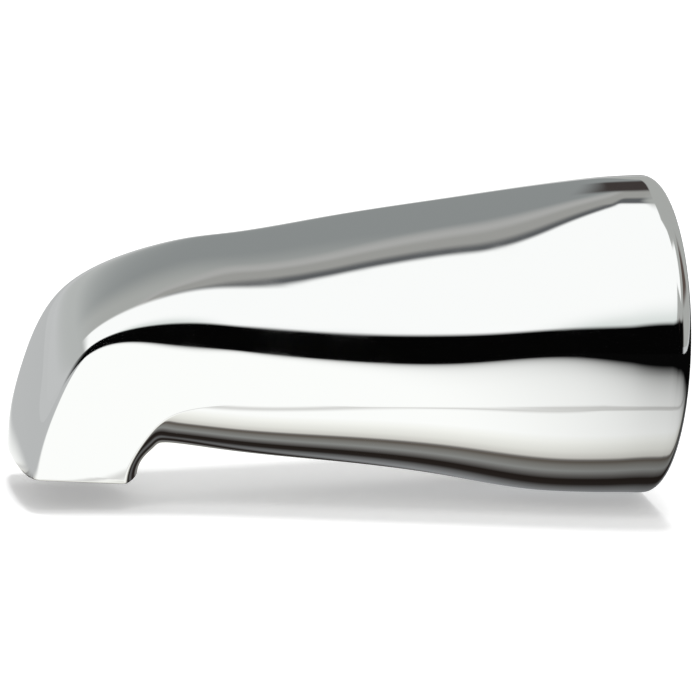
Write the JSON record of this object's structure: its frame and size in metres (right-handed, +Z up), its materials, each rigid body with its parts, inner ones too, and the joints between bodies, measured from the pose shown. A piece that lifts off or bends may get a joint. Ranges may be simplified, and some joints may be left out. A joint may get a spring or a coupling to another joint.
{
  "type": "bath spout",
  "caption": "Hollow chromed bath spout with a round bell at the wall, a tapering body, a flat-sided nose turned down to the mouth and a threaded brass inlet inside.",
  "frame": {"origin": "centre of the round wall face, in the plane that meets the wall", "axes": "+X out of the wall face towards the wall, so the nose points along -X; +Z up, with the mouth facing down; +Y across"},
  "size_m": [0.1279, 0.0636, 0.0636],
  "materials": {
    "chrome_plating": "polished chrome plating over a zinc casting",
    "brass": "machined brass"
  },
  "bodies": {
    "root": {"spout_body": "chrome_plating", "inlet_insert": "brass"}
  },
  "joints": []
}
